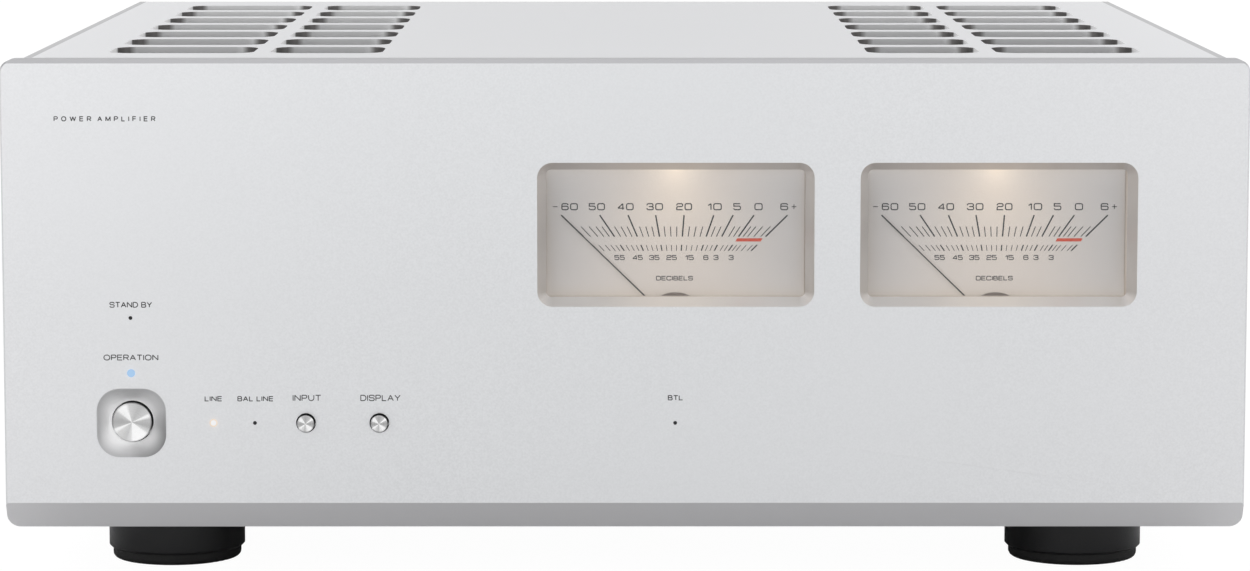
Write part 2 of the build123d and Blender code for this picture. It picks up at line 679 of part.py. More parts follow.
with BuildPart() as foot_pads:
    for x in (-FOOT_X, FOOT_X):
        for y in (-FOOT_Y, FOOT_Y):
            with BuildSketch(Plane.XY):
                with Locations((x, y)):
                    Circle(PAD_R)
                    Circle(8.0, mode=Mode.SUBTRACT)
            extrude(amount=PAD_T)
    lower = foot_pads.edges().filter_by(GeomType.CIRCLE).group_by(Axis.Z)[0]
    fillet([e for e in lower if e.radius > 20.0], 2.0)
save(foot_pads, "foot_pads")

with BuildPart() as foot_screws:
    for x in (-FOOT_X, FOOT_X):
        for y in (-FOOT_Y, FOOT_Y):
            with Locations((x, y, 10.7)):
                Cylinder(3.8, 2.6)
            with Locations((x, y, 19.5)):
                Cylinder(2.0, 15.0)
save(foot_screws, "foot_screws")

with BuildPart() as rear_screws:
    for x, z in REAR_SCREWS:
        head = [(0, REAR_Y + 1.8), (1.8, REAR_Y + 1.8), (2.9, REAR_Y + 0.9), (2.9, REAR_Y), (0, REAR_Y)]
        stack(x, z, head)
        rod(x, z, REAR_Y - 8.0, REAR_Y, 1.5)
    for x in (-20.0, 20.0):
        rod(x, INLET_Z, REAR_Y + 2.6, REAR_Y + 4.2, 2.9)
        rod(x, INLET_Z, REAR_Y, REAR_Y + 2.6, 1.65)
    for x in XLR_X:
        for dx, dz in ((-9.5, 12.0), (9.5, -12.0)):
            rod(x + dx, INPUT_Z + dz, REAR_Y + 2.0, REAR_Y + 3.4, 2.4)
            rod(x + dx, INPUT_Z + dz, REAR_Y, REAR_Y + 2.0, 1.5)
save(rear_screws, "rear_screws")
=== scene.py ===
"""Looks for the stereo power amplifier: materials, printed legends, dial scales, lamps, light and camera."""

import json
import math

import bpy
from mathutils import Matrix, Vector


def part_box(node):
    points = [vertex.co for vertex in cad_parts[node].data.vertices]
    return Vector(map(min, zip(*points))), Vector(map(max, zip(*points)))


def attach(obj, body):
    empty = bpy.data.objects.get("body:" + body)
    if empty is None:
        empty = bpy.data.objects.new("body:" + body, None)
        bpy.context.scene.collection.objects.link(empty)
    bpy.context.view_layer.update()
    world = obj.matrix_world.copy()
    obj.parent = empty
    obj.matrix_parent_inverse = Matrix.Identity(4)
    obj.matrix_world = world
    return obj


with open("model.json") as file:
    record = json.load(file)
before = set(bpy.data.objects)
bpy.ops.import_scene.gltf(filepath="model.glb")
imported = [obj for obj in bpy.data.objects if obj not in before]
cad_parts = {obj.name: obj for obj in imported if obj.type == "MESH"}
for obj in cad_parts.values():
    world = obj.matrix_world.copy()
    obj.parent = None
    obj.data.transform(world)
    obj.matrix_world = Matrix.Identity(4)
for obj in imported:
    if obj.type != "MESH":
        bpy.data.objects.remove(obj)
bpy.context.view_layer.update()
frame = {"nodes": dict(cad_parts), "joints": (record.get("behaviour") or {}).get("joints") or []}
nodes = frame["nodes"]
scene = bpy.context.scene
MM = 0.001

# ---------------------------------------------------------------- places read from the frame

panel_low, panel_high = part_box("front_panel")
dial_low, dial_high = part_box("meter_dials")
glass_low, glass_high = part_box("meter_glasses")
cover_low, cover_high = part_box("top_cover")
dish_low, dish_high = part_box("power_button_dish")
rear_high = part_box("rear_panel")[1]
joints = {j["name"]: j for j in frame["joints"]}

FACE_Y = panel_low.y
REAR_Y = rear_high.y
DIAL_Y = dial_low.y
PIVOTS = [Vector(joints[f"meter_swing_{side}"]["pos_m"]) for side in ("left", "right")]
DIAL_MID = (PIVOTS[0].x + PIVOTS[1].x) / 2
DIAL_HALF = (PIVOTS[1].x - PIVOTS[0].x) / 2
WINDOW_Z = (glass_low.z + glass_high.z) / 2
DISH_REACH = (dish_high.x - dish_low.x) / 2

# Sizes that the materials use: first the dials' light and shade, then how far in from the edge of the
# panel or cover a bevel reaches.
DIAL_EDGE = (45.9 * MM, 22.6 * MM)  # from a dial's middle to the edges of its window
LAMP_UP = 25.0 * MM  # from a dial's middle to its lamp
LAMP_SPOT = 8.5 * MM
LAMP_WASH = 30.0 * MM
LAMP_FAN = 75.0 * MM
EDGE_GLOW = 7.0 * MM
EDGE_SHADOW = 1.6 * MM
WINDOW_AROUND = (5.0 * MM, 29.0 * MM)  # the windows' bevels reach this far past the dials, and from WINDOW_Z
COVER_BEVEL = 4.8 * MM
TOP_CHAMFER = 5.0 * MM
LOWER_BEVEL = 15.0 * MM
# Painted light: above FADE_FROM the panel's face is painted paler towards its top.
FADE_FROM = WINDOW_Z - 20.0 * MM  # the panel is evenly toned up to here, then slightly paler towards its top
DISH_CURVE = 3.2  # power of the rounded square that follows the dish's outline
HALO = 1.9 * MM

BLACK = (0.0, 0.0, 0.0)
WHITE = (1.0, 1.0, 1.0)


def centre(node):
    low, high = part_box(node)
    return (low + high) / 2


# ---------------------------------------------------------------- materials


class Shader:
    """A node material built around one Principled shader."""

    def __init__(self, name):
        self.material = bpy.data.materials.new(name)
        self.material.use_nodes = True
        self.tree = self.material.node_tree
        self.tree.nodes.clear()
        self.output = self.node("ShaderNodeOutputMaterial")
        self.bsdf = self.node("ShaderNodeBsdfPrincipled")
        self.link(self.bsdf.outputs[0], self.output.inputs[0])
        self.coords = self.node("ShaderNodeTexCoord").outputs["Object"]

    def node(self, kind, **values):
        made = self.tree.nodes.new(kind)
        for key, value in values.items():
            setattr(made, key, value)
        return made

    def link(self, source, target):
        self.tree.links.new(source, target)

    def set(self, **values):
        for key, value in values.items():
            self.bsdf.inputs[key.replace("_", " ")].default_value = value

    def math(self, operation, a, b=None, c=None, clamp=False):
        made = self.node("ShaderNodeMath", operation=operation, use_clamp=clamp)
        for socket, value in zip(made.inputs, (a, b, c)):
            if value is None:
                continue
            if isinstance(value, (int, float)):
                socket.default_value = value
            else:
                self.link(value, socket)
        return made.outputs[0]

    def noise(self, scale, detail=3.0, stretch=(1, 1, 1), rough=0.5):
        mapping = self.node("ShaderNodeMapping")
        mapping.inputs["Scale"].default_value = stretch
        self.link(self.coords, mapping.inputs["Vector"])
        made = self.node("ShaderNodeTexNoise")
        made.inputs["Scale"].default_value = scale
        made.inputs["Detail"].default_value = detail
        made.inputs["Roughness"].default_value = rough
        self.link(mapping.outputs[0], made.inputs["Vector"])
        return made.outputs["Fac"]

    def span(self, value, low, high, start=0.3, end=0.7):
        made = self.node("ShaderNodeMapRange")
        made.inputs["From Min"].default_value = start
        made.inputs["From Max"].default_value = end
        made.inputs["To Min"].default_value = low
        made.inputs["To Max"].default_value = high
        self.link(value, made.inputs["Value"])
        return made.outputs[0]

    def mix(self, factor, a, b, blend="MIX"):
        made = self.node("ShaderNodeMix", data_type="RGBA", blend_type=blend)
        for socket, value in ((made.inputs[0], factor), (made.inputs[6], a), (made.inputs[7], b)):
            if isinstance(value, (int, float)):
                socket.default_value = value
            elif isinstance(value, tuple):
                socket.default_value = (*value, 1.0)
            else:
                self.link(value, socket)
        return made.outputs[2]

    def rise(self, value, start, end):
        """0 up to the start, 1 from the end on."""
        return self.span(value, 0.0, 1.0, start, end)

    def fall(self, value, start, end):
        """1 up to the start, 0 from the end on."""
        return self.span(value, 1.0, 0.0, start, end)

    def middle(self, across, half):
        """1 in the middle, falling with the square of the distance to 0 at half the width."""
        return self.fall(self.math("POWER", self.math("DIVIDE", across, half), 2.0), 0.0, 1.0)

    def product(self, first, *others):
        for other in others:
            first = self.math("MULTIPLY", first, other)
        return first

    def decay(self, value, reach):
        """Exponential fall-off of a distance over its reach, or of a squared one over its reach squared."""
        return self.math("EXPONENT", self.math("MULTIPLY", value, -1.0 / reach))

    def facing(self):
        """The three parts of the surface normal."""
        split = self.node("ShaderNodeSeparateXYZ")
        self.link(self.node("ShaderNodeNewGeometry").outputs["Normal"], split.inputs[0])
        return split.outputs

    def place(self):
        """The three parts of the place on the surface."""
        split = self.node("ShaderNodeSeparateXYZ")
        self.link(self.coords, split.inputs[0])
        return split.outputs

    def around(self, place):
        """Offsets in x and z from a place on the front, and the distance from it."""
        here = self.place()
        x = self.math("SUBTRACT", here[0], place.x)
        z = self.math("SUBTRACT", here[2], place.z)
        squared = self.math("ADD", self.math("MULTIPLY", x, x), self.math("MULTIPLY", z, z))
        return x, z, self.math("SQRT", squared)

    def bump(self, height, strength, distance=0.0001):
        made = self.node("ShaderNodeBump")
        made.inputs["Strength"].default_value = strength
        made.inputs["Distance"].default_value = distance
        self.link(height, made.inputs["Height"])
        return made.outputs[0]


def shade(color, factor):
    return tuple(min(1.0, c * factor) for c in color)


def finish(name, color, metallic, rough, grain=1800.0, bump=0.1, mottle=25.0, tone=0.03,
           rough_span=0.05, stretch=(1, 1, 1), **sockets):
    """General finish: fine grain in the bump, slow variation in tone and roughness."""
    s = Shader(name)
    fine = s.noise(grain, 2.0, stretch)
    slow = s.noise(mottle, 4.0, rough=0.6)
    mottled = s.mix(s.span(slow, 0.0, 1.0), shade(color, 1 - tone), shade(color, 1 + tone))
    s.link(mottled, s.bsdf.inputs["Base Color"])
    mixed = s.math("ADD", s.span(slow, -rough_span, rough_span), s.span(fine, rough - 0.03, rough + 0.03))
    s.link(mixed, s.bsdf.inputs["Roughness"])
    s.link(s.bump(fine, bump), s.bsdf.inputs["Normal"])
    s.set(Metallic=metallic, **sockets)
    return s


def blasted_aluminium(name, color, rough, bump=0.12):
    """Bead-blasted and anodised plate: tiny even pits and a faint cloudiness."""
    s = Shader(name)
    pits = s.node("ShaderNodeTexVoronoi", feature="F1")
    pits.inputs["Scale"].default_value = 2600.0
    s.link(s.coords, pits.inputs["Vector"])
    fine = s.noise(1500.0, 3.0)
    cloud = s.noise(9.0, 3.0)
    grain = s.math("MULTIPLY_ADD", pits.outputs["Distance"], 0.5, fine)
    speck = s.mix(s.span(fine, 0.0, 1.0), shade(color, 0.94), shade(color, 1.03))
    s.tone = s.mix(s.span(cloud, 0.0, 0.6), speck, color)
    s.link(s.tone, s.bsdf.inputs["Base Color"])
    uneven = s.math("ADD", fine, s.math("MULTIPLY", cloud, 0.4))
    s.link(s.span(uneven, rough - 0.04, rough + 0.05, 0.4, 1.0), s.bsdf.inputs["Roughness"])
    s.link(s.bump(grain, bump, 0.00006), s.bsdf.inputs["Normal"])
    s.set(Metallic=1.0)
    return s


def spun_metal(name, node, color, tones):
    """Turned face: fine rings, wedges of painted highlight and painted shade that run out from the middle, a
    painted glint, and a side painted dark as shade.
    """
    s = Shader(name)
    x, z, radius = s.around(centre(node))
    turn = s.math("MULTIPLY_ADD", s.math("ARCTAN2", z, x), 1.0 / math.tau, 0.5)
    # Painted highlights and painted shade: wedges of light and dark standing in for the lights' reflections
    # in the turned face.
    painted_highlight_wedges = s.node("ShaderNodeValToRGB")
    painted_highlight_wedges.color_ramp.interpolation = "EASE"
    while len(painted_highlight_wedges.color_ramp.elements) < len(tones):
        painted_highlight_wedges.color_ramp.elements.new(0.5)
    for element, (angle, tone) in zip(painted_highlight_wedges.color_ramp.elements, tones):
        element.position = (angle + 180.0) / 360.0
        element.color = (*shade(color, tone), 1.0)
    s.link(turn, painted_highlight_wedges.inputs[0])
    rings = s.node("ShaderNodeTexNoise", noise_dimensions="1D")
    rings.inputs["Scale"].default_value = 9000.0
    rings.inputs["Detail"].default_value = 3.0
    s.link(radius, rings.inputs["W"])
    ringed = s.mix(s.span(rings.outputs["Fac"], 0.0, 0.10), painted_highlight_wedges.outputs[0], (0.4, 0.4, 0.4))
    # The side of each button is painted near black: painted shade in the gap around the cap.
    face = s.fall(s.facing()[1], -0.5, -0.2)
    s.link(s.mix(face, (0.10, 0.10, 0.10), ringed), s.bsdf.inputs["Base Color"])
    # Painted glint: the brightest wedges of the face also glow.
    painted_glint = s.math("MULTIPLY", face, s.span(painted_highlight_wedges.outputs[0], 0.0, 0.15, 0.62, 1.0))
    s.link(s.mix(painted_glint, BLACK, WHITE), s.bsdf.inputs["Emission Color"])
    s.link(s.span(rings.outputs["Fac"], 0.24, 0.38), s.bsdf.inputs["Roughness"])
    s.link(s.bump(rings.outputs["Fac"], 0.08, 0.00004), s.bsdf.inputs["Normal"])
    s.set(Metallic=1.0, Emission_Strength=1.0)
    return s


def lit(name, node, color, core, reach, strength):
    """A lit lamp lens: its own colour at the edge, paler in the middle."""
    s = Shader(name)
    radius = s.around(centre(node))[2]
    grain = s.noise(4000.0, 1.0)
    edge = s.math("ADD", s.math("DIVIDE", radius, reach), s.span(grain, -0.08, 0.08))
    tint = s.mix(s.rise(edge, 0.9, 1.1), core, color)
    s.link(tint, s.bsdf.inputs["Emission Color"])
    s.link(s.mix(0.95, tint, BLACK), s.bsdf.inputs["Base Color"])
    s.set(Roughness=0.3, Emission_Strength=strength)
    return s


def halo(s, spots):
    """Light from small lamps spilling on the face around them."""
    total = BLACK
    for place, color, power in spots:
        radius = s.around(place)[2]
        falloff = s.decay(s.math("MULTIPLY", radius, radius), HALO**2)
        total = s.mix(1.0, total, s.mix(s.math("MULTIPLY", falloff, power), BLACK, color), "ADD")
    s.link(total, s.bsdf.inputs["Emission Color"])
    s.set(Emission_Strength=1.0)


def dial_paper():
    """Cool pale dial with painted light: the lamp's warm fan spreading down from the top and paler bands
    along the top and bottom edges; painted shadow along the edges of the window.
    """
    s = Shader("dial_paper_lit")
    here = s.place()
    from_middle = s.math("ABSOLUTE", s.math("SUBTRACT", here[0], DIAL_MID))
    across = s.math("ABSOLUTE", s.math("SUBTRACT", from_middle, DIAL_HALF))
    up = s.math("SUBTRACT", here[2], WINDOW_Z)
    below = s.math("SUBTRACT", LAMP_UP, up)
    squared = s.math("ADD", s.math("MULTIPLY", across, across), s.math("MULTIPLY", below, below))
    downward = s.math("POWER", s.math("DIVIDE", below, s.math("SQRT", squared)), 1.5, clamp=True)
    spot = s.decay(squared, LAMP_SPOT**2)
    wash = s.decay(squared, LAMP_WASH**2)
    fan = s.math("MULTIPLY", downward, s.decay(squared, LAMP_FAN**2))
    # Painted light along the top and bottom edges of the window.
    top = s.decay(s.math("SUBTRACT", DIAL_EDGE[1], up), EDGE_GLOW)
    foot = s.decay(s.math("ADD", DIAL_EDGE[1], up), EDGE_GLOW)
    glow = (0.058, 0.056, 0.055)
    for amount, power, tint in (
        (fan, 0.165, (1.0, 0.74, 0.46)),
        (spot, 0.11, (1.0, 0.86, 0.66)),
        (wash, 0.12, (1.0, 0.76, 0.50)),
        (top, 0.20, (1.0, 0.97, 0.94)),
        (foot, 0.11, (1.0, 0.95, 0.90)),
    ):
        glow = s.mix(1.0, glow, s.mix(s.math("MULTIPLY", amount, power), BLACK, tint), "ADD")
    s.link(glow, s.bsdf.inputs["Emission Color"])
    fibres = s.noise(1200.0, 3.0)
    tone = s.mix(s.rise(fibres, 0.3, 0.7), (0.445, 0.427, 0.422), (0.473, 0.454, 0.449))
    tone = s.mix(s.rise(across, 15.0 * MM, 42.0 * MM), tone, (0.455, 0.453, 0.462))
    inset = s.math("MINIMUM", s.math("SUBTRACT", DIAL_EDGE[0], across),
                   s.math("SUBTRACT", DIAL_EDGE[1], s.math("ABSOLUTE", up)))
    shadow = s.math("MULTIPLY", s.decay(inset, EDGE_SHADOW), 0.4, clamp=True)
    s.link(s.mix(shadow, tone, (0.36, 0.32, 0.27)), s.bsdf.inputs["Base Color"])
    s.link(s.bump(fibres, 0.05, 0.00003), s.bsdf.inputs["Normal"])
    s.set(Roughness=0.75, Emission_Strength=1.0)
    return s


def cover_shade(s):
    """Painted light and shade on the cover: painted shade on the vents' grey walls and dark corners, painted
    highlights on their end walls, painted shade on the grey bevels, and paler sides as painted light.
    """
    normal = s.facing()
    here = s.place()
    sideways = s.math("ABSOLUTE", normal[0])
    outward = s.math("ABSOLUTE", here[0])
    upright = s.fall(s.math("ABSOLUTE", normal[2]), 0.1, 0.3)
    inside = s.math("MULTIPLY", s.fall(here[1], REAR_Y - 20 * MM, REAR_Y - 15 * MM),
                    s.fall(outward, cover_high.x - 10 * MM, cover_high.x - 9 * MM))
    wall = s.math("MULTIPLY", upright, inside)
    edge = s.rise(outward, cover_high.x - COVER_BEVEL - 0.3 * MM, cover_high.x - COVER_BEVEL)
    bevel = s.math("MULTIPLY", edge, s.math("SUBTRACT", 1.0, upright))
    flat = s.fall(sideways, 0.4, 0.95)
    end = s.rise(sideways, 0.93, 0.985)
    corner = s.math("MULTIPLY", s.rise(sideways, 0.22, 0.50), s.math("SUBTRACT", 1.0, end))
    # Painted light: the cover is painted darker in its middle and paler towards its sides.
    tone = s.mix(s.middle(here[0], cover_high.x), s.tone, (0.885, 0.885, 0.885), "MULTIPLY")
    # Painted shade on the bevels along the cover's sides.
    tone = s.mix(bevel, tone, (0.58, 0.58, 0.585))
    # Painted shade on the vents' walls, darkest in the front rows.
    vent_wall_painted_shade = s.mix(s.rise(here[1], cover_low.y, REAR_Y), (0.69, 0.69, 0.695), (0.96, 0.96, 0.96))
    tone = s.mix(s.math("MULTIPLY", flat, wall), tone, vent_wall_painted_shade)
    # Painted shade in the vents' rounded corners.
    s.link(s.mix(s.math("MULTIPLY", corner, wall), tone, (0.25, 0.24, 0.235)), s.bsdf.inputs["Base Color"])
    # Painted highlight: the vents' end walls glow.
    s.link(s.mix(s.math("MULTIPLY", end, wall), BLACK, (0.36, 0.36, 0.36)), s.bsdf.inputs["Emission Color"])
    s.set(Emission_Strength=1.0)


def panel_shade(s):
    """Painted light and shade on the panel: its face paler at the sides and top, its upper chamfer and lower
    bevel greyer.

    The bevels around the windows are painted warm grey as shade, darkest where they face down.
    """
    normal = s.facing()
    here = s.place()
    aside, above = WINDOW_AROUND
    sloped = s.rise(normal[1], -0.99, -0.93)
    windows = s.product(
        s.rise(here[0], dial_low.x - aside - MM, dial_low.x - aside),
        s.rise(here[2], WINDOW_Z - above - MM, WINDOW_Z - above),
        s.fall(here[0], dial_high.x + aside, dial_high.x + aside + MM),
        s.fall(here[2], WINDOW_Z + above, WINDOW_Z + above + MM),
    )
    # Painted shade on the bevels around the windows: warm grey, darkest where they face down, none where they
    # face up.
    down_painted_shade = s.mix(s.fall(normal[2], -0.6, -0.1), (0.72, 0.71, 0.70), (0.69, 0.66, 0.64))
    window_bevel_painted_shade = s.mix(s.rise(normal[2], 0.1, 0.6), down_painted_shade, WHITE)
    # Painted light: the face is paler towards its sides.
    middle = s.middle(here[0], panel_high.x)
    tone = s.mix(middle, s.tone, (0.95, 0.955, 0.955), "MULTIPLY")
    # Painted light: the face is paler towards its top.
    tone = s.mix(s.fall(here[2], FADE_FROM, panel_high.z), tone, (0.965, 0.965, 0.965), "MULTIPLY")
    # Painted shade on the upper chamfer.
    chamfer = s.math("MULTIPLY", s.rise(normal[2], 0.3, 0.6),
                     s.rise(here[2], panel_high.z - TOP_CHAMFER - MM, panel_high.z - TOP_CHAMFER))
    tone = s.mix(chamfer, tone, (0.51, 0.51, 0.52))
    # Painted shade on the lower bevel, darkest in the middle.
    under = s.math("MULTIPLY", s.fall(normal[2], -0.6, -0.3),
                   s.fall(here[2], panel_low.z + LOWER_BEVEL - MM, panel_low.z + LOWER_BEVEL))
    tone = s.mix(under, tone, s.mix(middle, (0.725, 0.72, 0.73), (0.66, 0.655, 0.665)))
    s.link(s.mix(s.math("MULTIPLY", sloped, windows), tone, window_bevel_painted_shade), s.bsdf.inputs["Base Color"])


def dish_shade(s):
    """Painted shade and light on the dish: painted darker along its outline, most of all at its lower right,
    and a painted glow left of the button.
    """
    x, z, radius = s.around(centre("power_button_dish"))
    across = s.math("POWER", s.math("DIVIDE", s.math("ABSOLUTE", x), DISH_REACH), DISH_CURVE)
    up = s.math("POWER", s.math("DIVIDE", s.math("ABSOLUTE", z), DISH_REACH), DISH_CURVE)
    inward = s.fall(s.math("POWER", s.math("ADD", across, up), 1.0 / DISH_CURVE), 0.56, 1.0)
    # Painted shade along the dish's outline.
    tone = s.mix(inward, (0.60, 0.60, 0.605), WHITE)
    rightward = s.math("DIVIDE", x, radius)
    upward = s.math("DIVIDE", z, radius)
    lower_right = s.math("MULTIPLY_ADD", upward, -0.85, s.math("MULTIPLY", rightward, 1.15))
    lower_right_painted_shade = s.math("MULTIPLY", s.span(lower_right, 0.0, 0.48, 0.75, 1.45), s.fall(inward, 0.0, 0.9))
    # Painted light: a glow to the left of the button, in a ring around it.
    left = s.math("MULTIPLY_ADD", upward, -0.40, s.math("MULTIPLY", rightward, -0.85), clamp=True)
    painted_glow_ring = s.math("MINIMUM", s.span(inward, 0.0, 0.26, 0.10, 0.70), s.span(inward, 0.26, 0.12, 0.75, 1.0))
    s.link(s.mix(lower_right_painted_shade, tone, BLACK), s.bsdf.inputs["Base Color"])
    s.link(s.mix(s.math("MULTIPLY", left, painted_glow_ring), BLACK, WHITE), s.bsdf.inputs["Emission Color"])
    s.set(Metallic=0.6, Emission_Strength=1.0)


panel = blasted_aluminium("panel_blasted", (0.870, 0.876, 0.886), 0.40)
panel_shade(panel)
halo(panel, [
    (centre("operation_lens"), (0.45, 0.62, 1.0), 0.10),
    (centre("line_lens"), (1.0, 0.66, 0.38), 0.07),
])
cover = blasted_aluminium("cover_blasted", (0.949, 0.955, 0.966), 0.34)
cover_shade(cover)
side = blasted_aluminium("side_satin", (0.78, 0.785, 0.795), 0.45)
dish = blasted_aluminium("dish_satin", (0.92, 0.92, 0.925), 0.60, 0.06)
dish_shade(dish)
steel = finish("zinc_steel", (0.62, 0.62, 0.61), 1.0, 0.42, 900.0, 0.1, 60.0, 0.08)
rear = finish("rear_satin_paint", (0.60, 0.605, 0.61), 0.35, 0.5, 2200.0, 0.16, 30.0, 0.02)
glass = finish("clear_glass", (0.95, 0.97, 0.98), 0.0, 0.05, 300.0, 0.01, 20.0, 0.01, 0.01, Alpha=0.035)
case_plastic = finish("meter_case_plastic", (0.72, 0.65, 0.58), 0.0, 0.6, 1500.0, 0.1)
black_paint = finish("needle_paint", (0.02, 0.02, 0.02), 0.0, 0.4, 3000.0, 0.1)
hub_plastic = finish("hub_plastic", (0.20, 0.165, 0.14), 0.0, 0.35, 1500.0, 0.1)
bare_steel = finish("bright_steel", (0.66, 0.65, 0.64), 1.0, 0.3, 700.0, 0.1, 60.0, 0.05, stretch=(1, 1, 0.1))
lamp_bulb = lit("lamp_glow", "meter_lamps", (1.0, 0.74, 0.46), (1.0, 0.86, 0.66), 100.0 * MM, 1.2)
led_blue = lit("led_blue_lit", "operation_lens", (0.35, 0.56, 0.84), (0.38, 0.585, 0.84), 1.2 * MM, 0.93)
led_warm = lit("led_warm_lit", "line_lens", (0.83, 0.69, 0.56), (0.86, 0.86, 0.87), 0.98 * MM, 0.95)
led_dark = finish("led_dark", (0.012, 0.012, 0.014), 0.0, 0.25, 2500.0, 0.05)
black_plastic = finish("black_plastic", (0.022, 0.022, 0.023), 0.0, 0.42, 1600.0, 0.25, 60.0, 0.1)
gloss_black = finish("gloss_black", (0.014, 0.014, 0.015), 0.0, 0.22, 700.0, 0.06, 80.0, 0.1, Coat_Weight=0.4)
gloss_red = finish("gloss_red", (0.42, 0.012, 0.014), 0.0, 0.22, 700.0, 0.06, 80.0, 0.08, Coat_Weight=0.4)
board = finish("board_green", (0.02, 0.11, 0.055), 0.0, 0.35, 500.0, 0.3, 220.0, 0.35)
anodised = finish("black_anodised", (0.035, 0.036, 0.04), 0.7, 0.42, 2200.0, 0.15, 40.0, 0.1)
iron = finish("core_laminations", (0.16, 0.15, 0.15), 0.8, 0.5, 900.0, 0.6, 60.0, 0.15,
              stretch=(0.1, 1.0, 0.1))
copper = finish("winding_wire", (0.50, 0.20, 0.08), 0.9, 0.35, 900.0, 0.8, 60.0, 0.1,
                stretch=(0.1, 0.1, 1.0))
sleeve = finish("capacitor_sleeve", (0.02, 0.022, 0.05), 0.0, 0.3, 300.0, 0.05, 40.0, 0.1)
gold = finish("gold_plate", (0.87, 0.63, 0.26), 1.0, 0.2, 1200.0, 0.05, 120.0, 0.04)
white_plastic = finish("white_plastic", (0.78, 0.78, 0.76), 0.0, 0.35, 1500.0, 0.1, 60.0, 0.03)
nickel = finish("satin_nickel", (0.62, 0.61, 0.59), 1.0, 0.3, 1500.0, 0.1, 60.0, 0.05)
foot_paint = finish("foot_black", (0.010, 0.010, 0.011), 0.0, 0.36, 1500.0, 0.35, 40.0, 0.1,
                    Specular_IOR_Level=0.36)
rubber = finish("foot_rubber", (0.012, 0.012, 0.012), 0.0, 0.7, 900.0, 0.5, 50.0, 0.15)
ink = finish("legend_ink", (0.030, 0.030, 0.032), 0.0, 0.55, 3000.0, 0.05, 200.0, 0.1)
dial_ink = finish("dial_ink", (0.020, 0.020, 0.022), 0.0, 0.6, 3000.0, 0.05, 200.0, 0.1)
red_ink = finish("dial_red", (0.62, 0.055, 0.012), 0.0, 0.5, 3000.0, 0.05, 200.0, 0.08)
paper = dial_paper()

LOOKS = {
    panel: ["front_panel"],
    cover: ["top_cover"],
    side: ["side_panel_left", "side_panel_right"],
    dish: ["power_button_dish"],
    steel: ["front_subframe", "chassis_base"],
    rear: ["rear_panel"],
    glass: ["meter_glasses"],
    case_plastic: ["meter_cases"],
    paper: ["meter_dials"],
    black_paint: ["meter_needle_left", "meter_needle_right"],
    hub_plastic: ["meter_hub_covers"],
    bare_steel: ["meter_movements", "foot_screws", "rear_screws"],
    lamp_bulb: ["meter_lamps"],
    led_blue: ["operation_lens"],
    led_warm: ["line_lens"],
    led_dark: ["unlit_lenses"],
    black_plastic: ["power_switch", "button_switches", "output_transistors", "speaker_post_bases",
                    "xlr_inserts", "switch_bodies", "ac_inlet"],
    board: ["control_board", "driver_boards", "power_supply_board", "input_board"],
    anodised: ["heat_sink_left", "heat_sink_right"],
    iron: ["transformer_core"],
    copper: ["transformer_windings"],
    sleeve: ["filter_capacitors"],
    gold: ["speaker_post_cores", "rca_jacks"] + [f"clamp_washer_{i}" for i in range(1, 5)],
    gloss_red: ["clamp_knob_1", "clamp_knob_3"],
    gloss_black: ["clamp_knob_2", "clamp_knob_4"],
    white_plastic: ["rca_insulators", "phase_slider_left", "phase_slider_right", "mode_slider"],
    nickel: ["xlr_shells", "xlr_latch_left", "xlr_latch_right", "ac_inlet_pins"],
    foot_paint: ["foot_bodies"],
    rubber: ["foot_pads"],
}


def wear(name, look):
    nodes[name].data.materials.clear()
    nodes[name].data.materials.append(look.material)


for look, names in LOOKS.items():
    for name in names:
        wear(name, look)

# Painted highlight wedges of the spun faces, standing in for the lights' reflections: an angle in degrees,
# from the left round by the bottom, right and top, and a tone.
POWER_PAINTED_HIGHLIGHTS = (
    (-180, 0.52), (-166, 0.60), (-155, 0.97), (-140, 0.74), (-112, 0.68), (-98, 0.78), (-84, 1.0), (-42, 1.0),
    (-28, 0.72), (-12, 0.54), (8, 0.62), (22, 0.97), (33, 0.68), (62, 0.62), (96, 0.70), (114, 0.98),
    (134, 0.94), (150, 0.66), (168, 0.55), (180, 0.52),
)
SMALL_PAINTED_HIGHLIGHTS = (
    (-180, 0.46), (-160, 0.56), (-143, 1.0), (-124, 0.76), (-96, 0.62), (-74, 0.86), (-48, 1.0), (-32, 0.92),
    (-18, 0.58), (2, 0.46), (20, 0.60), (36, 0.98), (52, 0.66), (90, 0.50), (112, 0.58), (130, 0.98),
    (152, 0.92), (166, 0.56), (180, 0.46),
)
for name, painted_highlight_wedges in (
    ("power_button", POWER_PAINTED_HIGHLIGHTS),
    ("input_button", SMALL_PAINTED_HIGHLIGHTS),
    ("display_button", SMALL_PAINTED_HIGHLIGHTS),
):
    wear(name, spun_metal(name + "_spun", name, (0.99, 0.99, 0.985), painted_highlight_wedges))

# ---------------------------------------------------------------- printed legends


ROUND = 1
STEM = [(0, 0), (0, 1)]
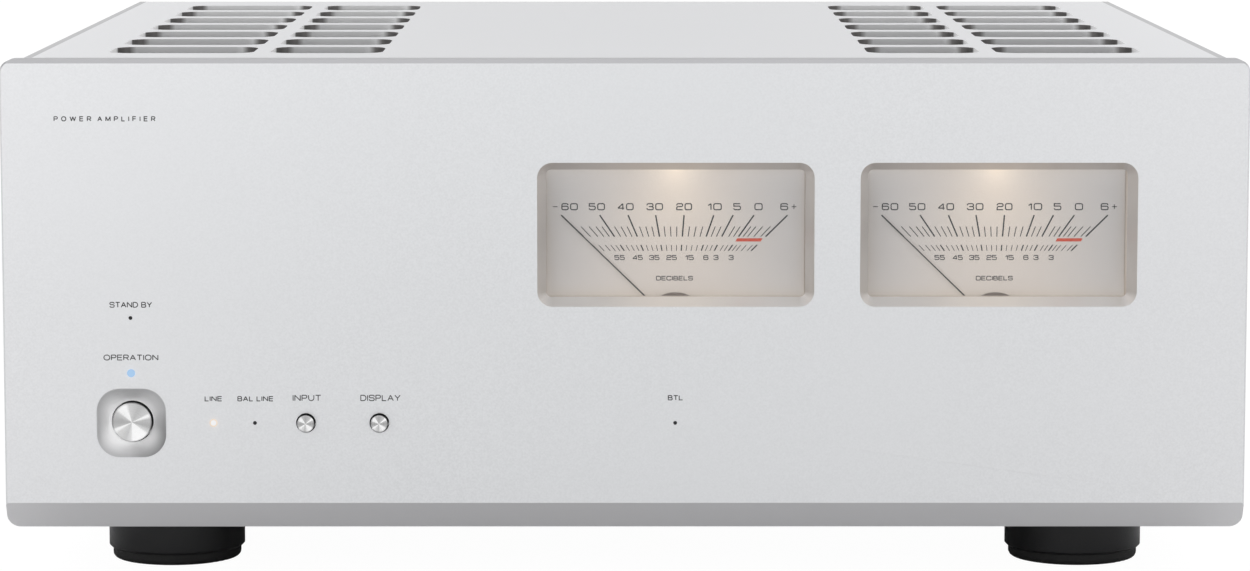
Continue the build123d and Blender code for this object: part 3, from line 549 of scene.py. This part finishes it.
# Each letter: its width in capital heights, then strokes in a unit square; ROUND marks a rounded corner.
GLYPHS = {
    "A": (0.98, [(0, 0), (0.5, 1)], [(0.5, 1), (1, 0)], [(0.2, 0.34), (0.8, 0.34)]),
    "B": (0.86, STEM, [(0, 0), (1, 0, ROUND), (1, 0.52, ROUND), (0, 0.52)],
          [(0, 0.52), (0.93, 0.52, ROUND), (0.93, 1, ROUND), (0, 1)]),
    "C": (0.98, [(1, 0.72), (1, 1, ROUND), (0, 1, ROUND), (0, 0, ROUND), (1, 0, ROUND), (1, 0.28)]),
    "D": (0.94, STEM, [(0, 0), (1, 0, ROUND), (1, 1, ROUND), (0, 1)]),
    "E": (0.82, [(1, 1), (0, 1), (0, 0), (1, 0)], [(0, 0.52), (0.93, 0.52)]),
    "F": (0.78, [(1, 1), (0, 1), (0, 0)], [(0, 0.5), (0.9, 0.5)]),
    "H": (0.9, STEM, [(1, 0), (1, 1)], [(0, 0.52), (1, 0.52)]),
    "I": (0.0, STEM),
    "K": (0.9, STEM, [(1, 1), (0, 0.36)], [(0.34, 0.6), (1, 0)]),
    "L": (0.72, [(0, 1), (0, 0), (1, 0)]),
    "M": (1.1, STEM, [(0, 1), (0.5, 0.06)], [(0.5, 0.06), (1, 1)], [(1, 1), (1, 0)]),
    "N": (0.94, STEM, [(0, 1), (1, 0)], [(1, 0), (1, 1)]),
    "O": (1.08, [(0.5, 0), (1, 0, ROUND), (1, 1, ROUND), (0, 1, ROUND), (0, 0, ROUND), (0.5, 0)]),
    "P": (0.84, STEM, [(0, 1), (1, 1, ROUND), (1, 0.46, ROUND), (0, 0.46)]),
    "R": (0.88, STEM, [(0, 1), (0.96, 1, ROUND), (0.96, 0.46, ROUND), (0, 0.46)], [(0.55, 0.46), (1, 0)]),
    "S": (0.9, [(1, 0.74), (1, 1, ROUND), (0, 1, ROUND), (0, 0.52, ROUND), (1, 0.52, ROUND), (1, 0, ROUND),
                (0, 0, ROUND), (0, 0.26)]),
    "T": (0.9, [(0, 1), (1, 1)], [(0.5, 1), (0.5, 0)]),
    "U": (0.92, [(0, 1), (0, 0, ROUND), (1, 0, ROUND), (1, 1)]),
    "W": (1.4, [(0, 1), (0.25, 0)], [(0.25, 0), (0.5, 1)], [(0.5, 1), (0.75, 0)], [(0.75, 0), (1, 1)]),
    "Y": (0.95, [(0, 1), (0.5, 0.46)], [(0.5, 0.46), (1, 1)], [(0.5, 0.5), (0.5, 0)]),
    "0": (1.12, [(0.5, 0), (1, 0, ROUND), (1, 1, ROUND), (0, 1, ROUND), (0, 0, ROUND), (0.5, 0)]),
    "1": (0.42, [(0, 0.7), (1, 1)], [(1, 1), (1, 0)]),
    "2": (1.02, [(0, 0.7), (0, 1, ROUND), (1, 1, ROUND), (1, 0.52, ROUND), (0, 0.52, ROUND), (0, 0), (1, 0)]),
    "3": (1.05, [(0, 0.72), (0, 1, ROUND), (0.97, 1, ROUND), (0.97, 0.52, ROUND), (0.3, 0.52)],
          [(0.3, 0.52), (1, 0.52, ROUND), (1, 0, ROUND), (0, 0, ROUND), (0, 0.28)]),
    "4": (1.05, [(0.8, 0), (0.8, 1)], [(0.8, 1), (0, 0.26)], [(0, 0.26), (1, 0.26)]),
    "5": (1.0, [(0.96, 1), (0, 1), (0, 0.6), (1, 0.6, ROUND), (1, 0, ROUND), (0, 0, ROUND), (0, 0.24)]),
    "6": (1.06, [(0.97, 0.76), (0.97, 1, ROUND), (0, 1, ROUND), (0, 0, ROUND), (1, 0, ROUND),
                 (1, 0.58, ROUND), (0, 0.58)]),
    " ": (0.25,),
}
ARC_STEPS = 5
SAME_POINT = 0.01 * MM
SHARPEST = 0.3  # smallest squared miter of a stroke's corner, so that sharp corners don't grow spikes
STROKE_STEP = 0.12  # drop of each further stroke of a letter, so that crossing tops don't coincide


def rounded(stroke, wide, high, reach):
    """Path of one stroke at its real size, with its marked corners turned into arcs."""
    points = [Vector((point[0] * wide, point[1] * high)) for point in stroke]
    marked = [len(point) > 2 for point in stroke]
    path = []
    for i, here in enumerate(points):
        if not marked[i]:
            path.append(here)
            continue
        into, out = here - points[i - 1], points[i + 1] - here
        room_before = into.length * (0.5 if marked[i - 1] else 1.0)
        room_after = out.length * (0.5 if marked[i + 1] else 1.0)
        r = min(reach, room_before, room_after)
        into.normalize()
        out.normalize()
        middle = here - into * r + out * r
        for k in range(ARC_STEPS + 1):
            t = math.pi / 2 * k / ARC_STEPS
            path.append(middle - out * r * math.cos(t) + into * r * math.sin(t))
    distinct = [path[0]]
    for point in path[1:]:
        if (point - distinct[-1]).length > SAME_POINT:
            distinct.append(point)
    return distinct


class Print:
    """Very thin raised print on a plane: strokes and bars joined in one mesh.

    Places on it are (u, v), across and up as its reader sees it.
    """

    def __init__(self, y, rear=False, thick=0.03 * MM):
        self.y = y
        self.turn = -1.0 if rear else 1.0
        self.thick = thick
        self.verts = []
        self.faces = []

    def put(self, verts, faces):
        start = len(self.verts)
        self.verts += [(self.turn * u, self.y - self.turn * w, v) for u, v, w in verts]
        self.faces += [tuple(start + i for i in face) for face in faces]

    def prism(self, points):
        n = len(points)
        verts = [(u, v, 0.0) for u, v in points] + [(u, v, self.thick) for u, v in points]
        faces = [tuple(range(n - 1, -1, -1)), tuple(range(n, 2 * n))]
        faces += [(i, (i + 1) % n, (i + 1) % n + n, i + n) for i in range(n)]
        self.put(verts, faces)

    def line(self, a, b, width):
        self.stroke([Vector(a), Vector(b)], width)

    def stroke(self, path, width, lift=1.0):
        """Ribbon of even width along a path, joined up if the path ends where it starts."""
        closed = (path[0] - path[-1]).length < SAME_POINT
        if closed:
            path = path[:-1]
        n = len(path)
        verts = []
        for i, here in enumerate(path):
            ways = []
            if closed or i > 0:
                ways.append((here - path[i - 1]).normalized())
            if closed or i < n - 1:
                ways.append((path[(i + 1) % n] - here).normalized())
            normals = [Vector((-way.y, way.x)) for way in ways]
            miter = sum(normals, Vector((0.0, 0.0))) / len(normals)
            reach = miter / max(miter.length_squared, SHARPEST) * width / 2
            for side in (-1.0, 1.0):
                edge = here + reach * side
                verts += [(edge.x, edge.y, 0.0), (edge.x, edge.y, self.thick * lift)]
        faces = []
        for i in range(n if closed else n - 1):
            a, b = 4 * i, 4 * ((i + 1) % n)
            faces += [(a + 1, b + 1, b + 3, a + 3), (a, a + 2, b + 2, b), (a, b, b + 1, a + 1),
                      (a + 2, a + 3, b + 3, b + 2)]
        if not closed:
            z = 4 * (n - 1)
            faces += [(0, 1, 3, 2), (z, z + 2, z + 3, z + 1)]
        self.put(verts, faces)

    def text(self, body, u, v, width, height, weight, reach=0.5, gap=0.34):
        """Letters centred on (u, v), their strokes fitted to a width and a capital height."""
        gaps = gap * (len(body) - 1)
        wide = width / (sum(GLYPHS[letter][0] for letter in body) + gaps)
        place = u - width / 2
        for letter in body:
            share, *strokes = GLYPHS[letter]
            corner = Vector((place, v - height / 2))
            for k, stroke in enumerate(strokes):
                path = [corner + point for point in rounded(stroke, share * wide, height, reach * height)]
                self.stroke(path, weight, 1.0 - STROKE_STEP * k)
            place += (share + gap) * wide

    def build(self, name, look, body="chassis"):
        mesh = bpy.data.meshes.new(name)
        mesh.from_pydata(self.verts, [], self.faces)
        mesh.materials.append(look.material)
        piece = bpy.data.objects.new(name, mesh)
        scene.collection.objects.link(piece)
        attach(piece, body)


LEGEND_WEIGHT = 0.33 * MM
front_print = Print(FACE_Y)
for body, x, z, width, cap, gap in (
    ("POWER", -194.4, 169.3, 12.95, 1.5, 1.05),
    ("AMPLIFIER", -175.4, 169.3, 20.1, 1.5, 1.05),
    ("STAND BY", -174.7, 103.4, 14.75, 1.74, 0.3),
    ("OPERATION", -174.9, 84.6, 19.1, 1.76, 0.3),
    ("LINE", -145.85, 69.87, 5.9, 1.56, 0.34),
    ("BAL LINE", -130.95, 69.87, 12.45, 1.56, 0.34),
    ("INPUT", -112.7, 70.15, 9.8, 1.92, 0.3),
    ("DISPLAY", -86.65, 70.15, 13.95, 1.92, 0.3),
    ("BTL", 17.87, 70.2, 5.05, 1.54, 0.3),
):
    front_print.text(body, x * MM, z * MM, width * MM, cap * MM, LEGEND_WEIGHT, 0.5, gap)
front_print.build("front_legends", ink)

# ---------------------------------------------------------------- dial scales

EVEN_3 = (0.25, 0.5, 0.75)
EVEN_2 = (0.33, 0.67)
# Each main division: its angle, its label with the label's place and width, and where the fine ticks lie
# on the way to the next one.
DIVISIONS = (
    (-45.9, "60", -37.65, 5.5, (0.2, 0.42, 0.62, 0.81)),
    (-34.35, "50", -27.95, 5.4, EVEN_3),
    (-23.15, "40", -17.75, 5.4, EVEN_3),
    (-10.1, "30", -7.35, 5.5, EVEN_3),
    (4.5, "20", 3.12, 5.25, EVEN_3),
    (19.15, "10", 14.0, 4.65, EVEN_2),
    (27.55, "5", 22.0, 2.35, (0.43, 0.72)),
    (35.4, "0", 29.6, 2.55, (0.19, 0.37, 0.6, 0.84)),
    (45.4, "6", 38.75, 2.45, ()),
)
LOWER_LABELS = (
    ("55", -19.85, 3.4),
    ("45", -13.45, 3.4),
    ("35", -7.5, 3.4),
    ("25", -1.3, 3.4),
    ("15", 5.05, 2.8),
    ("6", 10.9, 1.55),
    ("3", 14.5, 1.55),
    ("3", 19.9, 1.55),
)
# Heights above the needle's pivot: where a row of ticks starts and ends, and how wide they are.
MAIN_TICK = (31.7, 39.4, 0.52)
FINE_TICK = (31.7, 35.3, 0.31)
LOWER_TICK = (26.6, 28.75, 0.44)
LOWER_FINE_TICK = (26.6, 28.65, 0.25)
NUMBER_UP = 42.4
LOWER_NUMBER_UP = 24.2
NAME_UP = 16.8
SIGN_AT = (-42.8, 42.2)  # minus and plus
SIGN_ARM = 0.85 * MM
SIGN_WEIGHT = 0.3 * MM
RED_ZONE = ((21.4, 29.95), (30.4, 29.95), (31.1, 31.1), (22.0, 31.1))
DIAL_INK_THICK = 0.04 * MM


def dial_scale(pivot, name):
    ticks = Print(DIAL_Y, thick=DIAL_INK_THICK)

    def tick(angle, row):
        low, high, width = row
        lean = math.tan(math.radians(angle))
        ends = [(pivot.x + up * MM * lean, pivot.z + up * MM) for up in (low, high)]
        ticks.line(*ends, width * MM)

    def label(body, x, up, width, cap, weight, reach, gap):
        ticks.text(body, pivot.x + x * MM, pivot.z + up * MM, width * MM, cap * MM, weight * MM, reach, gap)

    for i, (angle, number, x, width, between) in enumerate(DIVISIONS):
        tick(angle, MAIN_TICK)
        tick(angle, LOWER_TICK)
        for share in between:
            fine = angle + (DIVISIONS[i + 1][0] - angle) * share
            tick(fine, FINE_TICK)
            tick(fine, LOWER_FINE_TICK)
        label(number, x, NUMBER_UP, width, 2.15, 0.40, 0.26, 0.42)
    for number, x, width in LOWER_LABELS:
        label(number, x, LOWER_NUMBER_UP, width, 1.5, 0.31, 0.26, 0.3)
    label("DECIBELS", -0.3, NAME_UP, 12.9, 1.36, 0.30, 0.28, 0.3)
    minus, plus = [pivot.x + x * MM for x in SIGN_AT]
    level = pivot.z + NUMBER_UP * MM
    for x in (minus, plus):
        ticks.line((x - SIGN_ARM, level), (x + SIGN_ARM, level), SIGN_WEIGHT)
    upright = [Vector((plus, level - SIGN_ARM)), Vector((plus, level + SIGN_ARM))]
    ticks.stroke(upright, SIGN_WEIGHT, 0.85)
    ticks.build(name + "_scale", dial_ink)
    bar = Print(DIAL_Y, thick=DIAL_INK_THICK)
    bar.prism([(pivot.x + x * MM, pivot.z + z * MM) for x, z in RED_ZONE])
    bar.build(name + "_red_zone", red_ink)


for pivot, name in zip(PIVOTS, ("dial_left", "dial_right")):
    dial_scale(pivot, name)

# ---------------------------------------------------------------- rear legends

REAR_WEIGHT = 0.46 * MM
# Minus and plus signs under the loudspeaker terminals, as seen from behind; the red knobs are plus.
POLE_Z = 56.0 * MM
POLE_ACROSS = Vector((2.0 * MM, 0.0))
POLE_UP = Vector((0.0, 2.0 * MM))
POLE_WEIGHT = 0.65 * MM
MINUS_X = (-130.0, 100.0)
PLUS_X = (-100.0, 130.0)
rear_print = Print(REAR_Y, rear=True)
for side in (-1.0, 1.0):
    for body, x, z, width, cap in (
        ("BAL LINE", 150.0, 160.0, 23.0, 3.1),
        ("LINE", 112.0, 160.0, 11.2, 3.1),
        ("INPUT", 131.0, 168.0, 16.0, 3.4),
        ("PHASE", 76.0, 152.0, 15.0, 2.9),
        ("SPEAKERS", 115.0, 92.0, 28.0, 3.4),
    ):
        rear_print.text(body, side * x * MM, z * MM, width * MM, cap * MM, REAR_WEIGHT)
    for x, z in ((128.5, 147.0), (115.0, 99.0)):
        rear_print.text("R" if side < 0 else "L", side * x * MM, z * MM, 3.4 * MM, 4.4 * MM, REAR_WEIGHT)
for body, x, z, width, cap in (
    ("MODE", 0.0, 152.0, 14.0, 2.9),
    ("STEREO", -17.5, 138.0, 14.0, 2.4),
    ("BTL", 15.0, 138.0, 7.2, 2.4),
    ("AC IN", 0.0, 76.0, 15.0, 3.2),
):
    rear_print.text(body, x * MM, z * MM, width * MM, cap * MM, REAR_WEIGHT)
for x in sorted(MINUS_X + PLUS_X):
    pole = Vector((x * MM, POLE_Z))
    rear_print.line(pole - POLE_ACROSS, pole + POLE_ACROSS, POLE_WEIGHT)
    if x in PLUS_X:
        rear_print.line(pole - POLE_UP, pole + POLE_UP, POLE_WEIGHT)
rear_print.build("rear_legends", ink)

# ---------------------------------------------------------------- floor, light and camera


FLOOR_HALF = 14.0
FLOOR_GAP = 0.2 * MM


def stage_floor():
    mesh = bpy.data.meshes.new("floor")
    corners = [(x * FLOOR_HALF, y * FLOOR_HALF, 0.0) for x, y in ((-1, -1), (1, -1), (1, 1), (-1, 1))]
    mesh.from_pydata(corners, [], [(0, 1, 2, 3)])
    floor = bpy.data.objects.new("floor", mesh)
    floor.location.z = -FLOOR_GAP
    scene.collection.objects.link(floor)
    s = Shader("pale_floor")
    soft = s.noise(3.0, 2.0)
    s.link(s.mix(s.span(soft, 0.0, 1.0), (0.78, 0.78, 0.78), (0.81, 0.81, 0.81)), s.bsdf.inputs["Base Color"])
    s.set(Roughness=0.9, Specular_IOR_Level=0.1)
    glow = s.node("ShaderNodeEmission")
    glow.inputs["Strength"].default_value = 1.06
    blend = s.node("ShaderNodeMixShader")
    path = s.node("ShaderNodeLightPath")
    s.link(s.math("MULTIPLY", path.outputs["Is Camera Ray"], 0.92), blend.inputs[0])
    s.link(s.bsdf.outputs[0], blend.inputs[1])
    s.link(glow.outputs[0], blend.inputs[2])
    s.link(blend.outputs[0], s.output.inputs[0])
    mesh.materials.append(s.material)


LIT_PLACE = Vector((0.0, 0.0, 0.1))
WORLD_POWER = 1.50
SIDE_TONE = 0.58
BACK_TONE = 0.80


def studio_world():
    """White for the camera. For the object, bright at eye level and darker above, at the sides and behind."""
    world = bpy.data.worlds.new("studio")
    scene.world = world
    world.use_nodes = True
    tree = world.node_tree
    tree.nodes.clear()
    output = tree.nodes.new("ShaderNodeOutputWorld")
    background = tree.nodes.new("ShaderNodeBackground")
    coords = tree.nodes.new("ShaderNodeTexCoord")
    split = tree.nodes.new("ShaderNodeSeparateXYZ")
    tree.links.new(coords.outputs["Generated"], split.inputs[0])
    height = tree.nodes.new("ShaderNodeMapRange")
    height.inputs["From Min"].default_value = -1.0
    height.inputs["From Max"].default_value = 1.0
    tree.links.new(split.outputs[2], height.inputs["Value"])
    ramp = tree.nodes.new("ShaderNodeValToRGB")
    stops = ((0.0, 0.35), (0.42, 0.60), (0.5, 1.0), (0.545, 0.95), (0.61, 0.50), (0.72, 0.38), (0.86, 0.55),
             (1.0, 0.80))
    while len(ramp.color_ramp.elements) < len(stops):
        ramp.color_ramp.elements.new(0.5)
    for element, (position, value) in zip(ramp.color_ramp.elements, stops):
        element.position = position
        element.color = (value, value, value * 1.01, 1.0)
    tree.links.new(height.outputs[0], ramp.inputs[0])

    def dimmed(base, amount, tone):
        made = tree.nodes.new("ShaderNodeMix")
        made.data_type = "RGBA"
        made.blend_type = "MULTIPLY"
        made.inputs[7].default_value = (tone, tone, tone, 1.0)
        tree.links.new(amount, made.inputs[0])
        tree.links.new(base, made.inputs[6])
        return made.outputs[2]

    sideways = tree.nodes.new("ShaderNodeMath")
    sideways.operation = "MULTIPLY"
    tree.links.new(split.outputs[0], sideways.inputs[0])
    tree.links.new(split.outputs[0], sideways.inputs[1])
    backward = tree.nodes.new("ShaderNodeMapRange")
    backward.inputs["From Min"].default_value = -1.0
    backward.inputs["From Max"].default_value = 1.0
    tree.links.new(split.outputs[1], backward.inputs["Value"])
    walls = dimmed(ramp.outputs[0], sideways.outputs[0], SIDE_TONE)
    walls = dimmed(walls, backward.outputs[0], BACK_TONE)
    path = tree.nodes.new("ShaderNodeLightPath")
    mix = tree.nodes.new("ShaderNodeMix")
    mix.data_type = "RGBA"
    tree.links.new(path.outputs["Is Camera Ray"], mix.inputs[0])
    tree.links.new(walls, mix.inputs[6])
    mix.inputs[7].default_value = (1.0, 1.0, 1.0, 1.0)
    tree.links.new(mix.outputs[2], background.inputs["Color"])
    background.inputs["Strength"].default_value = WORLD_POWER
    tree.links.new(background.outputs[0], output.inputs[0])


def soft_light(name, place, size, power):
    data = bpy.data.lights.new(name, "AREA")
    data.shape = "RECTANGLE"
    data.size, data.size_y = size
    data.energy = power
    lamp = bpy.data.objects.new(name, data)
    lamp.location = place
    lamp.rotation_euler = (LIT_PLACE - Vector(place)).to_track_quat("-Z", "Y").to_euler()
    lamp.visible_camera = False
    scene.collection.objects.link(lamp)


stage_floor()
studio_world()
soft_light("key_front_left", (-3.8, -4.4, 2.6), (5.0, 4.0), 70.0)
soft_light("fill_right", (4.6, -1.6, 2.6), (4.0, 3.6), 30.0)
soft_light("top_back", (0.6, 2.8, 4.4), (5.0, 3.0), 45.0)

CAMERA_PLACE = Vector((-1.4 * MM, FACE_Y - 1565.0 * MM, 291.0 * MM))
PITCH = math.radians(6.588303)
YAW = math.radians(0.051548)
camera_data = bpy.data.cameras.new("camera")
camera_data.sensor_width = 36.0
camera_data.lens = 128.4
camera_data.clip_end = 60.0
camera = bpy.data.objects.new("camera", camera_data)
camera.location = CAMERA_PLACE
camera.rotation_euler = (math.pi / 2 - PITCH, 0.0, -YAW)
scene.collection.objects.link(camera)
scene.camera = camera
scene.view_settings.view_transform = "Standard"
